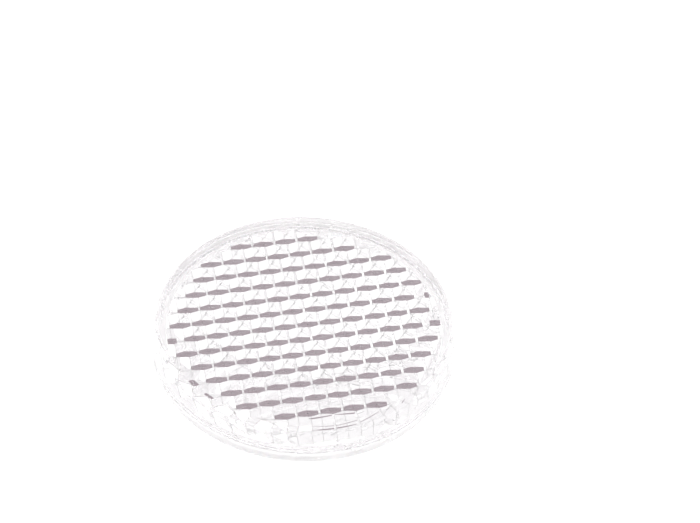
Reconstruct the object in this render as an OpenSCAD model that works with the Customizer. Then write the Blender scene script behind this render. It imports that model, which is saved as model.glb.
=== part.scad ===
// Round clear prism reflector: a front lens with a field of cube-corner prisms on its back, and a
// back cover welded to its rim. The disc rests on its back face, which is at z = 0, and it looks
// up along +Z. The rows of prisms run along X.

/* [Disc] */
// Diameter at the joint, which is the widest line
disc_d = 84; // [60:1:120]
// Thickness over both mouldings
disc_t = 13.3; // [12.6:0.1:18]

/* [Front lens] */
// Height of the side wall from the joint to the front face
lens_h = 8.4; // [6:0.1:9]
// How much the side wall leans in on its way to the front face, for draft
lens_lean = 1.1; // [0:0.1:2]
// Radius of the edge round the front face
front_edge_r = 1.8; // [0.5:0.1:2.5]
// Clear plastic between the front face and the prisms
face_t = 4.95; // [2:0.05:5.5]
// Width of the solid rim round the prism field
rim_w = 4.2; // [3.5:0.1:8]

/* [Prisms] */
// Edge of the cube whose corner makes each prism
cube_edge = 4.47; // [3:0.01:5.4]

/* [Back cover] */
// Wall of the cover behind the air gap
cover_t = 1.8; // [1:0.1:2]
// Height of the upright band below the joint, which a ring holder fits round
band_h = 1.2; // [0.6:0.1:2]
// How much the side wall leans in below the band, for draft
cover_lean = 1; // [0:0.1:1.5]
// Radius of the edge round the back face
back_edge_r = 1.3; // [0.5:0.1:2]
// Gap between the prism field and the cover's inner wall
field_gap = 0.3; // [0.1:0.05:0.8]

/* [Weld] */
// Width of the weld bead between the two rims
bead_w = 1.2; // [0.6:0.1:1.8]
// Height of the weld bead, half of it in each rim
bead_h = 0.8; // [0.4:0.1:1.2]
// Bevel on both edges at the joint, which leaves a fine groove round the side
joint_bevel = 0.2; // [0.1:0.05:0.4]

/* [Hidden] */
$fn = 180;
overrun = 1;
recess_play = 0.02;

// A prism is a cube corner looking straight down, so it is a hexagon across the flats, and its
// edges and corners lie one step and two steps above its tip.
prism_w = cube_edge * sqrt(2);
prism_step = cube_edge / sqrt(3);
prism_depth = 2 * prism_step;

disc_r = disc_d / 2;
field_r = disc_r - rim_w;
bead_r = disc_r - rim_w / 2;
joint_z = disc_t - lens_h;
tip_z = disc_t - face_t - prism_depth;

// The tips, edge ends and corners of the prisms all lie on one net of equal triangles. Its columns
// run along Y, half a prism apart, and every odd column is set half a point further along.
net_dx = prism_w / 2;
net_dy = prism_w / sqrt(3);
net_cols = ceil((field_r + prism_w) / net_dx);
net_rows = ceil((field_r + prism_w) / net_dy);

// Half section of a moulding: up from the joint at y = 0, upright to the top of the band, then
// leaning in by lean, and rounded at its end.
module rim_profile(h, band, lean, edge_r) {
    a = atan(lean / (h - band));
    centre = [disc_r - (h - edge_r - band) * tan(a) - edge_r / cos(a), h - edge_r];
    polygon([
        [0, 0],
        [disc_r - joint_bevel, 0],
        [disc_r, joint_bevel],
        [disc_r, band],
        centre + edge_r * [cos(a), sin(a)],
        [centre.x, h],
        [0, h]
    ]);
    translate(centre) circle(edge_r);
}

// How many steps a net point lies above the prism tips: 0, 1 and 2 in turn along each column.
function net_step(i, j) = (j + 2 * abs(i % 2) + 3 * net_rows) % 3;

// The middle of the disc is half way between two neighbouring tips, so the rows lie evenly about it.
function net_point(i, j) = [
    i * net_dx - prism_w / 4,
    (j + abs(i % 2) / 2) * net_dy - prism_w * sqrt(3) / 4
];

function net_index(i, j) = (i + net_cols) * (2 * net_rows + 1) + j + net_rows;

// The two triangles between a net point and the next ones along X and Y.
function net_pair(i, j) =
    let (a = net_index(i, j), b = net_index(i + 1, j), c = b + 1, d = a + 1)
    i % 2 == 0 ? [[a, d, b], [d, c, b]] : [[a, c, b], [a, d, c]];

// Air under the prisms: a block whose top is the relief of cube corners.
module prism_air() {
    points = [for (i = [-net_cols : net_cols], j = [-net_rows : net_rows]) [i, j]];
    top = [for (n = points)
        concat(net_point(n[0], n[1]), tip_z + prism_step * net_step(n[0], n[1]))];
    bottom = [for (n = points) concat(net_point(n[0], n[1]), tip_z - overrun)];
    relief = [for (i = [-net_cols : net_cols - 1], j = [-net_rows : net_rows - 1])
        each net_pair(i, j)];
    under = [for (f = relief) [for (k = [2, 1, 0]) f[k] + len(points)]];
    border = concat(
        [for (i = [-net_cols : net_cols - 1]) net_index(i, -net_rows)],
        [for (j = [-net_rows : net_rows - 1]) net_index(net_cols, j)],
        [for (i = [net_cols : -1 : 1 - net_cols]) net_index(i, net_rows)],
        [for (j = [net_rows : -1 : 1 - net_rows]) net_index(-net_cols, j)]
    );
    sides = [for (k = [0 : len(border) - 1])
        let (p = border[k], q = border[(k + 1) % len(border)])
        [p, q, q + len(points), p + len(points)]];
    polyhedron(points = concat(top, bottom), faces = concat(relief, under, sides));
}

// Ring of the weld bead, centred on the joint.
module bead_ring() {
    translate([0, 0, joint_z])
        rotate_extrude()
            translate([bead_r - bead_w / 2, -bead_h / 2])
                square([bead_w, bead_h]);
}

// The prism field reaches through the joint, so the lens has a core that goes down to the tips.
module front_lens() {
    color([0.92, 0.94, 0.96, 0.5])
        difference() {
            union() {
                translate([0, 0, joint_z])
                    rotate_extrude() rim_profile(lens_h, joint_bevel, lens_lean, front_edge_r);
                translate([0, 0, tip_z - overrun / 2])
                    cylinder(r = field_r, h = disc_t - tip_z - face_t);
            }
            intersection() {
                translate([0, 0, tip_z - overrun])
                    cylinder(r = field_r + recess_play, h = lens_h);
                prism_air();
            }
            bead_ring();
        }
}

module back_cover() {
    color([0.88, 0.9, 0.92, 0.5])
        difference() {
            translate([0, 0, joint_z]) mirror([0, 0, 1])
                rotate_extrude() rim_profile(joint_z, band_h, cover_lean, back_edge_r);
            translate([0, 0, cover_t]) cylinder(r = field_r + field_gap, h = joint_z);
            bead_ring();
        }
}

module weld_bead() {
    color([0.75, 0.74, 0.78]) bead_ring();
}

front_lens();
back_cover();
weld_bead();
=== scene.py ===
import math

import bmesh
import bpy
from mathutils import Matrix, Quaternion, Vector


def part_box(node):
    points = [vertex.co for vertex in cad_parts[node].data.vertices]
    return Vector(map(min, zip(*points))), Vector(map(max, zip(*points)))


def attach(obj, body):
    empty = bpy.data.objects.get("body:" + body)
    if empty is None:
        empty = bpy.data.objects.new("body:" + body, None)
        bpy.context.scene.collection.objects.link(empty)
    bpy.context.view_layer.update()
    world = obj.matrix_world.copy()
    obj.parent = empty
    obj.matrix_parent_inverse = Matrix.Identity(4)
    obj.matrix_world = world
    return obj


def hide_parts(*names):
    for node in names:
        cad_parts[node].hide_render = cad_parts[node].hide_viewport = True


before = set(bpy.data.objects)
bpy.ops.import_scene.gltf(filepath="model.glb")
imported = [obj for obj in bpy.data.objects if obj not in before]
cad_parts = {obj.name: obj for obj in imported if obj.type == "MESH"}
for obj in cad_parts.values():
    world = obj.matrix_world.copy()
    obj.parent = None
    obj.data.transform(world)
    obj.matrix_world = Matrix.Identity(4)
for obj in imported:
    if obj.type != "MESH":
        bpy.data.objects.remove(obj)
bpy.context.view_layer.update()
mm = 0.001
body = "root"

lensLow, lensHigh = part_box("front_lens")
coverLow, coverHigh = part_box("back_cover")
beadLow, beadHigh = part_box("weld_bead")

disc = {
    "radius": coverHigh.x,
    "front": lensHigh.z,
    "joint": (beadLow.z + beadHigh.z) / 2,
    "tips": lensLow.z,
    "fieldRadius": 37.8 * mm,
    "jointBevel": 0.2 * mm,
    "gap": 0.01 * mm,  # air left between pieces that touch
    "skin": 0.05 * mm,  # how close to the field's wall a face counts as part of it
    "turns": 256,
}


def report(text):
    print("[disc]", text)


# small helpers for meshes

def newObject(name, mesh):
    piece = bpy.data.objects.new(name, mesh)
    bpy.context.scene.collection.objects.link(piece)
    return piece


def dropObjects(*tools):
    for tool in tools:
        mesh = tool.data
        bpy.data.objects.remove(tool)
        bpy.data.meshes.remove(mesh)


def bakeModifiers(piece):
    graph = bpy.context.evaluated_depsgraph_get()
    mesh = bpy.data.meshes.new_from_object(piece.evaluated_get(graph))
    old = piece.data
    piece.modifiers.clear()
    piece.data = mesh
    bpy.data.meshes.remove(old)
    return piece


def spinProfile(name, profile, closed=False):  # profile points are (radius, height)
    bm = bmesh.new()
    turns = disc["turns"]
    rings = []
    for r, z in profile:
        if r < 1e-9:
            rings.append([bm.verts.new((0, 0, z))])
            continue
        ring = []
        for k in range(turns):
            a = 2 * math.pi * k / turns
            ring.append(bm.verts.new((r * math.cos(a), r * math.sin(a), z)))
        rings.append(ring)
    pairs = list(zip(rings, rings[1:]))
    if closed:
        pairs.append((rings[-1], rings[0]))
    for low, high in pairs:
        for k in range(turns):
            n = (k + 1) % turns
            if len(low) == 1:
                bm.faces.new((low[0], high[n], high[k]))
            elif len(high) == 1:
                bm.faces.new((low[k], low[n], high[0]))
            else:
                bm.faces.new((low[k], low[n], high[n], high[k]))
    bmesh.ops.recalc_face_normals(bm, faces=bm.faces)
    mesh = bpy.data.meshes.new(name)
    bm.to_mesh(mesh)
    bm.free()
    return newObject(name, mesh)


def drumTool(name, r, low, high):
    return spinProfile(name, [(0, low), (r, low), (r, high), (0, high)])


def roundedRing(name, r, width, low, high, corner, steps):  # ring with rounded corners
    points = []
    for cx, cz, start in (
        (r + width / 2 - corner, low + corner, -90),
        (r + width / 2 - corner, high - corner, 0),
        (r - width / 2 + corner, high - corner, 90),
        (r - width / 2 + corner, low + corner, 180),
    ):
        for k in range(steps + 1):
            a = math.radians(start + 90 * k / steps)
            points.append((cx + corner * math.cos(a), cz + corner * math.sin(a)))
    return spinProfile(name, points, closed=True)


def grooveProfile():  # half of the groove for the weld bead, from the joint plane up
    h = (beadHigh.z - beadLow.z) / 2
    c = bead["corner"]
    inner = bead["radius"] - bead["width"] / 2
    outer = bead["radius"] + bead["width"] / 2
    arc = [math.radians(90 * k / bead["steps"]) for k in range(bead["steps"] + 1)]
    points = [(inner, 0)]
    points += [(inner + c - c * math.cos(a), h - c + c * math.sin(a)) for a in arc]
    points += [(outer - c + c * math.sin(a), h - c + c * math.cos(a)) for a in arc]
    points.append((outer, 0))
    return points


def mouldingProfile(jointZ, endZ, piece, inside):  # inside, joint, band, wall, rounded edge, face
    up = 1 if endZ > jointZ else -1
    h = abs(endZ - jointZ)
    edge = piece["edgeRound"]
    band = piece["band"]
    a = math.atan(piece["lean"] / (h - band))
    cx = disc["radius"] - (h - edge - band) * math.tan(a) - edge / math.cos(a)
    points = inside + grooveProfile()
    points += [(disc["radius"] - disc["jointBevel"], 0), (disc["radius"], disc["jointBevel"])]
    if band > disc["jointBevel"]:
        points.append((disc["radius"], band))
    for k in range(piece["roundSteps"] + 1):
        t = a + (math.pi / 2 - a) * k / piece["roundSteps"]
        points.append((cx + edge * math.cos(t), h - edge + edge * math.sin(t)))
    points.append((0, h))
    return [(x, jointZ + up * y) for x, y in points]


def cut(piece, tool, operation="DIFFERENCE"):
    m = piece.modifiers.new("cut", "BOOLEAN")
    m.object = tool
    m.operation = operation
    m.solver = "EXACT"
    return bakeModifiers(piece)


def shadeMoulding(mesh):  # curved walls shade smooth, faces and prisms stay flat
    curved = []
    for p in mesh.polygons:
        c = p.center
        outside = math.hypot(c.x, c.y) > disc["fieldRadius"] - disc["skin"]
        curved.append(outside and abs(p.normal.z) < 0.999)
    mesh.set_sharp_from_angle(angle=math.radians(30))
    for p, smooth in zip(mesh.polygons, curved):
        p.use_smooth = smooth


def markEdges(mesh):  # faces of the small rounds between prism faces, which are given painted shade: less clear and tinted dark, so the seams show grey
    mark = mesh.attributes.new("prismEdge", "FLOAT", "FACE")
    top = disc["tips"] + 2 * prism["step"] + prism["play"]
    for p, item in zip(mesh.polygons, mark.data):
        c = p.center
        slope = abs(p.normal.z)
        inField = math.hypot(c.x, c.y) < disc["fieldRadius"] - disc["skin"] and c.z < top
        level = slope > 0.99
        upright = slope < 0.05
        prismFace = abs(slope - prism["faceSlope"]) < 0.03
        item.value = float(inField and not (level or upright or prismFace))


bead = {
    "width": 1.2 * mm,
    "corner": 0.22 * mm,
    "steps": 5,
    "clearance": 0.012 * mm,
}
bead["radius"] = beadHigh.x - bead["width"] / 2


# small helpers for materials

def newLook(name):
    look = bpy.data.materials.new(name)
    look.use_nodes = True
    tree = look.node_tree
    return look, tree, tree.nodes["Principled BSDF"]


def addNode(tree, kind, **settings):
    node = tree.nodes.new(kind)
    for key, value in settings.items():
        setattr(node, key, value)
    return node


def noise(tree, place, scale, detail, rough=0.5, stretch=None):
    if stretch:
        mapping = addNode(tree, "ShaderNodeMapping")
        mapping.inputs["Scale"].default_value = stretch
        mapping.inputs["Rotation"].default_value = (0, 0, math.radians(wearPattern["scratchTurn"]))
        tree.links.new(place, mapping.inputs["Vector"])
        place = mapping.outputs["Vector"]
    node = addNode(tree, "ShaderNodeTexNoise")
    node.inputs["Scale"].default_value = scale
    node.inputs["Detail"].default_value = detail
    node.inputs["Roughness"].default_value = rough
    tree.links.new(place, node.inputs["Vector"])
    return node.outputs["Fac"]


def ramp(tree, source, stops):  # stops are (position, grey or colour)
    node = addNode(tree, "ShaderNodeValToRGB")
    elements = node.color_ramp.elements
    while len(elements) < len(stops):
        elements.new(0.5)
    for element, (position, value) in zip(elements, stops):
        colour = value if isinstance(value, tuple) else (value, value, value)
        element.position = position
        element.color = (*colour, 1)
    tree.links.new(source, node.inputs["Fac"])
    return node.outputs["Color"]


def mixGrey(tree, a, b, how="MULTIPLY"):
    node = addNode(tree, "ShaderNodeMath", operation=how)
    tree.links.new(a, node.inputs[0])
    tree.links.new(b, node.inputs[1])
    return node.outputs["Value"]


def mixColour(tree, a, b):
    node = addNode(tree, "ShaderNodeVectorMath", operation="MULTIPLY")
    tree.links.new(a, node.inputs[0])
    tree.links.new(b, node.inputs[1])
    return node.outputs["Vector"]


def heightMask(tree, place, low, high):  # 0 below low, 1 above high
    split = addNode(tree, "ShaderNodeSeparateXYZ")
    tree.links.new(place, split.inputs["Vector"])
    node = addNode(tree, "ShaderNodeMapRange")
    node.inputs["From Min"].default_value = low
    node.inputs["From Max"].default_value = high
    tree.links.new(split.outputs["Z"], node.inputs["Value"])
    return node.outputs["Result"]


def rimMask(tree, place, start, end):  # 0 inside the field, 1 in the solid rim
    flat = addNode(tree, "ShaderNodeMapping")
    flat.inputs["Scale"].default_value = (1, 1, 0)
    tree.links.new(place, flat.inputs["Vector"])
    length = addNode(tree, "ShaderNodeVectorMath", operation="LENGTH")
    tree.links.new(flat.outputs["Vector"], length.inputs[0])
    node = addNode(tree, "ShaderNodeMapRange")
    node.inputs["From Min"].default_value = start
    node.inputs["From Max"].default_value = end
    tree.links.new(length.outputs["Value"], node.inputs["Value"])
    return node.outputs["Result"]


def bump(tree, height, distance, strength, before=None):
    node = addNode(tree, "ShaderNodeBump")
    node.inputs["Distance"].default_value = distance
    node.inputs["Strength"].default_value = strength
    tree.links.new(height, node.inputs["Height"])
    if before:
        tree.links.new(before, node.inputs["Normal"])
    return node.outputs["Normal"]


wearPattern = {
    "cloud": (0.3, 0.7),  # where each pattern starts and ends on the noise
    "smudge": (0.42, 0.75),
    "scratch": (0.66, 0.72),
    "scratchStretch": (1, 42, 1),
    "scratchTurn": 28,
    "hazeStart": 0.1 * mm,  # outside the field, where the rim's haze begins and is full
    "hazeFull": 0.6 * mm,
    "flowStrength": 0.5,
    "grainStrength": 0.4,
}


def clearLook(recipe):
    look, tree, shader = newLook(recipe["name"])
    place = addNode(tree, "ShaderNodeTexCoord").outputs["Object"]
    shader.inputs["IOR"].default_value = recipe["ior"]
    hazeFrom = disc["fieldRadius"] + wearPattern["hazeStart"]
    rim = rimMask(tree, place, hazeFrom, disc["fieldRadius"] + wearPattern["hazeFull"])
    clear = ramp(tree, rim, [(0.0, recipe["clear"]), (1.0, recipe["rimClear"])])
    edge = addNode(tree, "ShaderNodeAttribute", attribute_name="prismEdge").outputs["Fac"]  # lens only
    # on the rounds between prism faces the clearness drops, so the dark tint below shows there as
    # painted shade in the seams
    edgeClear = ramp(tree, edge, [(0.0, 1.0), (1.0, recipe["edgeClear"])])
    tree.links.new(mixGrey(tree, clear, edgeClear), shader.inputs["Transmission Weight"])
    cloud = noise(tree, place, recipe["cloudScale"], 5)
    low, high = wearPattern["cloud"]
    tint = ramp(tree, cloud, [(low, recipe["tint"]), (high, recipe["tintPale"])])
    # painted shade in the prism seams: a dark tint on the rounds between faces
    seamShade = ramp(tree, edge, [(0.0, 1.0), (1.0, recipe["seamShadeTint"])])
    tree.links.new(mixColour(tree, tint, seamShade), shader.inputs["Base Color"])
    handling = noise(tree, place, recipe["smudgeScale"], 8, 0.62)
    low, high = wearPattern["smudge"]
    worn = ramp(tree, handling, [(low, recipe["polish"]), (high, recipe["dull"])])
    scratch = noise(tree, place, recipe["scratchScale"], 3, 0.7, wearPattern["scratchStretch"])
    low, high = wearPattern["scratch"]
    fine = ramp(tree, scratch, [(low, 0.0), (high, recipe["scratch"])])
    rough = mixGrey(tree, worn, fine, "ADD")
    outer = heightMask(tree, place, *recipe["outerFrom"])  # handled faces only
    faceRough = mixGrey(tree, rough, outer)
    base = ramp(tree, cloud, [(0.0, recipe["polish"]), (1.0, recipe["inner"])])
    tree.links.new(mixGrey(tree, faceRough, base, "ADD"), shader.inputs["Roughness"])
    flow = mixGrey(tree, noise(tree, place, recipe["flowScale"], 2), outer)
    wave = bump(tree, flow, recipe["flowHeight"], wearPattern["flowStrength"])
    grain = mixGrey(tree, noise(tree, place, recipe["grainScale"], 4), outer)
    skin = bump(tree, grain, recipe["grainHeight"], wearPattern["grainStrength"], wave)
    tree.links.new(skin, shader.inputs["Normal"])
    return look


def wear(piece, look):
    piece.data.materials.clear()
    piece.data.materials.append(look)
    for p in piece.data.polygons:
        p.material_index = 0


def handIn(piece, node):
    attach(piece, body)
    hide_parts(node)


# prism field

prism = {
    "cubeEdge": 4.47 * mm,
    "edgeRound": 0.045 * mm,
    "roundSteps": 2,
    "rows": 16,
    "columns": 17,
    "depth": 20 * mm,  # of the air block that carries the relief
    "merge": 0.001 * mm,
    "play": 0.1 * mm,
    "faceSlope": 1 / math.sqrt(3),  # upward part of a cube face's normal
}
prism["width"] = prism["cubeEdge"] * math.sqrt(2)
prism["step"] = prism["cubeEdge"] / math.sqrt(3)
prism["rowGap"] = prism["width"] * math.sqrt(3) / 2


def prismCell():  # one cube corner, tip down: edge ends a step up, corners two steps up
    reach = prism["width"] / math.sqrt(3)
    bm = bmesh.new()
    tip = bm.verts.new((0, 0, 0))
    ring = []
    for k in range(6):
        a = math.radians(90 + 60 * k)
        z = prism["step"] * (1 + k % 2)
        ring.append(bm.verts.new((reach * math.cos(a), reach * math.sin(a), z)))
    for k in (0, 2, 4):
        bm.faces.new((tip, ring[k], ring[k + 1], ring[(k + 2) % 6]))
    mesh = bpy.data.meshes.new("prismCell")
    bm.to_mesh(mesh)
    bm.free()
    return newObject("prismCell", mesh)


def fieldNodes():  # hexagonal net of cells, every other row set half a prism along
    tree = bpy.data.node_groups.new("prismField", "GeometryNodeTree")
    face = tree.interface
    for name, kind in (
        ("Cell", "NodeSocketObject"),
        ("Width", "NodeSocketFloat"),
        ("Row Gap", "NodeSocketFloat"),
        ("Rows", "NodeSocketInt"),
        ("Columns", "NodeSocketInt"),
        ("Reach", "NodeSocketFloat"),
        ("Look", "NodeSocketMaterial"),
    ):
        face.new_socket(name, in_out="INPUT", socket_type=kind)
    face.new_socket("Field", in_out="OUTPUT", socket_type="NodeSocketGeometry")
    given = tree.nodes.new("NodeGroupInput").outputs
    result = tree.nodes.new("NodeGroupOutput").inputs

    def calc(how, a, b):
        node = tree.nodes.new("ShaderNodeMath")
        node.operation = how
        for slot, value in zip(node.inputs, (a, b)):
            if isinstance(value, (int, float)):
                slot.default_value = value
            else:
                tree.links.new(value, slot)
        return node.outputs["Value"]

    grid = tree.nodes.new("GeometryNodeMeshGrid")
    spanX = calc("MULTIPLY", calc("SUBTRACT", given["Columns"], 1), given["Width"])
    spanY = calc("MULTIPLY", calc("SUBTRACT", given["Rows"], 1), given["Row Gap"])
    tree.links.new(spanX, grid.inputs["Size X"])
    tree.links.new(spanY, grid.inputs["Size Y"])
    tree.links.new(given["Columns"], grid.inputs["Vertices X"])
    tree.links.new(given["Rows"], grid.inputs["Vertices Y"])

    row = calc("MODULO", tree.nodes.new("GeometryNodeInputIndex").outputs["Index"], given["Rows"])
    odd = calc("MODULO", row, 2)
    along = calc("MULTIPLY", calc("SUBTRACT", 0.25, calc("MULTIPLY", odd, 0.5)), given["Width"])
    offset = tree.nodes.new("ShaderNodeCombineXYZ")
    tree.links.new(along, offset.inputs["X"])
    place = tree.nodes.new("GeometryNodeSetPosition")
    tree.links.new(grid.outputs["Mesh"], place.inputs["Geometry"])
    tree.links.new(offset.outputs["Vector"], place.inputs["Offset"])

    length = tree.nodes.new("ShaderNodeVectorMath")
    length.operation = "LENGTH"
    tree.links.new(tree.nodes.new("GeometryNodeInputPosition").outputs["Position"], length.inputs[0])
    near = tree.nodes.new("FunctionNodeCompare")
    near.data_type = "FLOAT"
    near.operation = "LESS_THAN"
    tree.links.new(length.outputs["Value"], near.inputs["A"])
    tree.links.new(given["Reach"], near.inputs["B"])

    cell = tree.nodes.new("GeometryNodeObjectInfo")
    tree.links.new(given["Cell"], cell.inputs["Object"])
    instances = tree.nodes.new("GeometryNodeInstanceOnPoints")
    tree.links.new(place.outputs["Geometry"], instances.inputs["Points"])
    tree.links.new(near.outputs["Result"], instances.inputs["Selection"])
    tree.links.new(cell.outputs["Geometry"], instances.inputs["Instance"])
    real = tree.nodes.new("GeometryNodeRealizeInstances")
    tree.links.new(instances.outputs["Instances"], real.inputs["Geometry"])
    dress = tree.nodes.new("GeometryNodeSetMaterial")
    tree.links.new(real.outputs["Geometry"], dress.inputs["Geometry"])
    tree.links.new(given["Look"], dress.inputs["Material"])
    tree.links.new(dress.outputs["Geometry"], result["Field"])
    return tree


def prismSheet(look):
    cell = prismCell()
    sheet = newObject("prismSheet", bpy.data.meshes.new("prismSheet"))
    m = sheet.modifiers.new("field", "NODES")
    m.node_group = fieldNodes()
    values = {
        "Cell": cell,
        "Width": prism["width"],
        "Row Gap": prism["rowGap"],
        "Rows": prism["rows"],
        "Columns": prism["columns"],
        "Reach": disc["fieldRadius"] + prism["width"],
        "Look": look,
    }
    for item in m.node_group.interface.items_tree:
        if item.in_out == "INPUT":
            m[item.identifier] = values[item.name]
    bakeModifiers(sheet)
    dropObjects(cell)
    return sheet


def airBlock(look):  # block of air whose top is the prisms' relief
    sheet = prismSheet(look)
    top = disc["tips"]
    bm = bmesh.new()
    bm.from_mesh(sheet.data)
    bmesh.ops.remove_doubles(bm, verts=bm.verts, dist=prism["merge"])
    bmesh.ops.translate(bm, verts=bm.verts, vec=(0, 0, top))
    copy = bmesh.ops.duplicate(bm, geom=list(bm.verts) + list(bm.edges) + list(bm.faces))
    under = [g for g in copy["geom"] if isinstance(g, bmesh.types.BMVert)]
    bmesh.ops.translate(bm, verts=under, vec=(0, 0, -prism["depth"]))
    rim = [e for e in bm.edges if len(e.link_faces) == 1]
    bmesh.ops.bridge_loops(bm, edges=rim)
    bmesh.ops.recalc_face_normals(bm, faces=bm.faces)
    sharp = []
    for e in bm.edges:
        if min(v.co.z for v in e.verts) > top - prism["merge"]:
            if all(f.normal.z > 0.3 for f in e.link_faces):  # both faces look up
                sharp.append(e)
    bmesh.ops.bevel(
        bm, geom=sharp, offset=prism["edgeRound"], segments=prism["roundSteps"],
        profile=0.5, affect="EDGES", clamp_overlap=False,
    )
    bm.to_mesh(sheet.data)
    bm.free()
    return sheet


# front lens

report("front lens")
lens = {
    "band": disc["jointBevel"],
    "lean": 1.1 * mm,
    "edgeRound": 1.8 * mm,
    "roundSteps": 16,
    "coreOverrun": 0.5 * mm,
    "wellOverrun": 1 * mm,
    "recessPlay": 0.02 * mm,
}
lensLook = clearLook({
    "name": "clearPolycarbonate",
    "ior": 1.586,
    "clear": 1.0,
    "rimClear": 1.0,
    # painted shade in the prism seams: dark tint and low clearness on the rounds between faces
    "seamShadeTint": 0.12,
    "edgeClear": 0.25,
    "tint": (0.995, 0.992, 0.995),
    "tintPale": (1.0, 1.0, 1.0),
    "cloudScale": 90,
    "polish": 0.0,
    "dull": 0.02,
    "inner": 0.0,
    "smudgeScale": 150,
    "scratchScale": 60,
    "scratch": 0.03,
    "outerFrom": (lensHigh.z - 0.9 * mm, lensHigh.z - 0.2 * mm),
    "flowScale": 70,
    "flowHeight": 0.004 * mm,
    "grainScale": 900,
    "grainHeight": 0.0006 * mm,
})
coreDrop = disc["joint"] - disc["tips"] + lens["coreOverrun"]
clearLens = spinProfile("clear_lens", mouldingProfile(
    disc["joint"] + disc["gap"], disc["front"], lens,
    [(0, -coreDrop), (disc["fieldRadius"], -coreDrop), (disc["fieldRadius"], 0)]))
air = airBlock(lensLook)
well = drumTool(
    "well", disc["fieldRadius"] + lens["recessPlay"],
    disc["tips"] - lens["wellOverrun"], disc["front"] - lens["wellOverrun"])
cut(air, well, "INTERSECT")
cut(clearLens, air)
dropObjects(air, well)
shadeMoulding(clearLens.data)
markEdges(clearLens.data)
wear(clearLens, lensLook)
handIn(clearLens, "front_lens")

# weld bead

report("weld bead")
weldBead = roundedRing(
    "weld", bead["radius"], bead["width"] - 2 * bead["clearance"], beadLow.z + bead["clearance"],
    beadHigh.z - bead["clearance"], bead["corner"], bead["steps"])
for p in weldBead.data.polygons:
    p.use_smooth = True
beadLook = clearLook({
    "name": "resetPlastic",
    "ior": 1.586,
    "clear": 1.0,
    "rimClear": 1.0,
    "seamShadeTint": 1.0,
    "edgeClear": 1.0,
    "tint": (0.99, 0.975, 0.985),
    "tintPale": (1.0, 1.0, 1.0),
    "cloudScale": 420,
    "polish": 0.08,
    "dull": 0.3,
    "inner": 0.2,
    "smudgeScale": 700,
    "scratchScale": 300,
    "scratch": 0.05,
    "outerFrom": (beadLow.z, beadHigh.z),
    "flowScale": 260,
    "flowHeight": 0.05 * mm,
    "grainScale": 2600,
    "grainHeight": 0.004 * mm,
})
wear(weldBead, beadLook)
handIn(weldBead, "weld_bead")

# back cover

report("back cover")
cover = {
    "wall": 1.8 * mm,
    "band": 1.2 * mm,
    "lean": 1.0 * mm,
    "edgeRound": 1.3 * mm,
    "fieldGap": 0.3 * mm,
    "roundSteps": 14,
}
hollow = disc["joint"] - coverLow.z - cover["wall"]
bore = disc["fieldRadius"] + cover["fieldGap"]
backCover = spinProfile("clear_cover", mouldingProfile(
    disc["joint"], coverLow.z, cover,
    [(0, hollow), (bore, hollow), (bore, 0)]))
shadeMoulding(backCover.data)
coverLook = clearLook({
    "name": "satinPolycarbonate",
    "ior": 1.586,
    "clear": 0.95,
    "rimClear": 0.5,
    "seamShadeTint": 1.0,
    "edgeClear": 1.0,
    "tint": (0.995, 0.985, 0.99),
    "tintPale": (1.0, 1.0, 1.0),
    "cloudScale": 80,
    "polish": 0.05,
    "dull": 0.2,
    "inner": 0.22,
    "smudgeScale": 130,
    "scratchScale": 60,
    "scratch": 0.05,
    "outerFrom": (coverLow.z, coverLow.z + 2 * mm),
    "flowScale": 70,
    "flowHeight": 0.03 * mm,
    "grainScale": 1500,
    "grainHeight": 0.004 * mm,
})
wear(backCover, coverLook)
handIn(backCover, "back_cover")

# table and surroundings

report("table and light")
table = {
    "size": 6.0,
    "drop": 0.02 * mm,  # keeps its face out of the disc's back face
    "grey": 0.2,
    "greyPale": 0.21,
    "patchScale": 40,
    "glow": 0.95,  # lit from below, as the table of a light tent is
}
floorMesh = bpy.data.meshes.new("table")
half = table["size"] / 2
corners = [(-half, -half, 0), (half, -half, 0), (half, half, 0), (-half, half, 0)]
floorMesh.from_pydata(corners, [], [(0, 1, 2, 3)])
floor = newObject("table", floorMesh)
floor.location.z = coverLow.z - table["drop"]
look, tree, shader = newLook("paleTable")
place = addNode(tree, "ShaderNodeTexCoord").outputs["Object"]
patches = noise(tree, place, table["patchScale"], 4)
pale = ramp(tree, patches, [(0.3, table["grey"]), (0.7, table["greyPale"])])
tree.links.new(pale, shader.inputs["Base Color"])
shader.inputs["Roughness"].default_value = 0.6
shader.inputs["Emission Color"].default_value = (1, 1, 1, 1)
shader.inputs["Emission Strength"].default_value = table["glow"]
floorMesh.materials.append(look)

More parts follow.
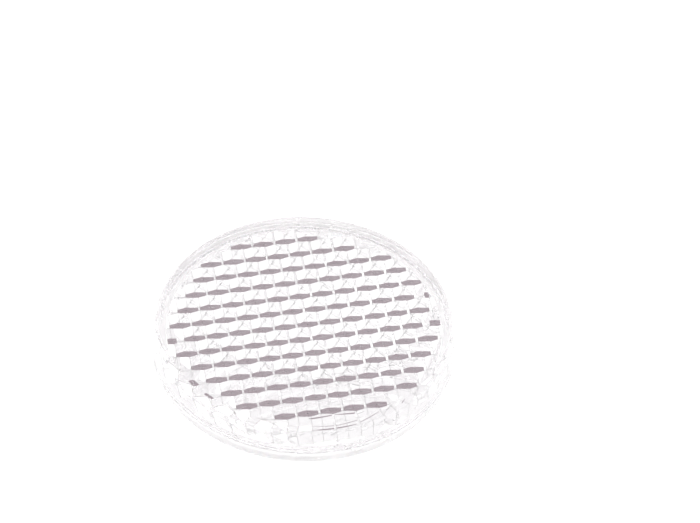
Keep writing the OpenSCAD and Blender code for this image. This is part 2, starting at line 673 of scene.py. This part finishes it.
room = {"low": (0.93, 0.905, 0.925), "high": (1.0, 0.985, 0.995), "strength": 0.97}
world = bpy.data.worlds.new("lightTent")
bpy.context.scene.world = world
world.use_nodes = True
tree = world.node_tree
split = addNode(tree, "ShaderNodeSeparateXYZ")
tree.links.new(addNode(tree, "ShaderNodeTexCoord").outputs["Generated"], split.inputs["Vector"])
sky = ramp(tree, split.outputs["Z"], [(0.0, room["low"]), (0.9, room["high"])])
tree.links.new(sky, tree.nodes["Background"].inputs["Color"])
tree.nodes["Background"].inputs["Strength"].default_value = room["strength"]

# camera, and its dark front, which the prisms send back to it

report("camera")
view = {
    "lens": 205.25,
    "sensor": 36,
    "place": Vector((-0.16207, -0.74647, 0.78564)),  # from the middle of the front face
    "azimuth": -13.139,
    "elevation": 44.954,
    "roll": 2.382,
}
cameraData = bpy.data.cameras.new("camera")
cameraData.lens = view["lens"]
cameraData.sensor_width = view["sensor"]
camera = bpy.data.objects.new("camera", cameraData)
bpy.context.scene.collection.objects.link(camera)
az = math.radians(view["azimuth"])
el = math.radians(view["elevation"])
back = Vector((math.sin(az) * math.cos(el), -math.cos(az) * math.cos(el), math.sin(el)))
camera.location = view["place"] + Vector((0, 0, disc["front"]))
camera.rotation_mode = "QUATERNION"
aim = (-back).to_track_quat("-Z", "Y")
camera.rotation_quaternion = aim @ Quaternion((0, 0, 1), math.radians(view["roll"]))
bpy.context.scene.camera = camera

# the camera's dark front is a card behind it; its glow is painted light, standing in for the light the
# camera's front catches, and sets how bright the spots the prisms send back are
cameraFront = {"radius": 0.08, "behind": 0.01, "colour": (0.3, 0.23, 0.265)}
cardMesh = bpy.data.meshes.new("cameraFront")
bm = bmesh.new()
bmesh.ops.create_circle(bm, cap_ends=True, segments=64, radius=cameraFront["radius"])
bm.to_mesh(cardMesh)
bm.free()
card = newObject("cameraFront", cardMesh)
look, tree, shader = newLook("cameraBlackPaintedGlow")
shader.inputs["Base Color"].default_value = (0.02, 0.02, 0.02, 1)
# painted glow of the camera's front
shader.inputs["Emission Color"].default_value = (*cameraFront["colour"], 1)
shader.inputs["Emission Strength"].default_value = 1
cardMesh.materials.append(look)
card.parent = camera
card.location = (0, 0, cameraFront["behind"])

scene = bpy.context.scene
scene.view_settings.view_transform = "Standard"
scene.cycles.max_bounces = 64  # light runs round the rim many times before it leaves
scene.cycles.transmission_bounces = 64
scene.cycles.glossy_bounces = 64
scene.cycles.diffuse_bounces = 16
scene.cycles.blur_glossy = 0  # blurred bounces would darken the milky rim from inside

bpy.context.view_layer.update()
report("done")
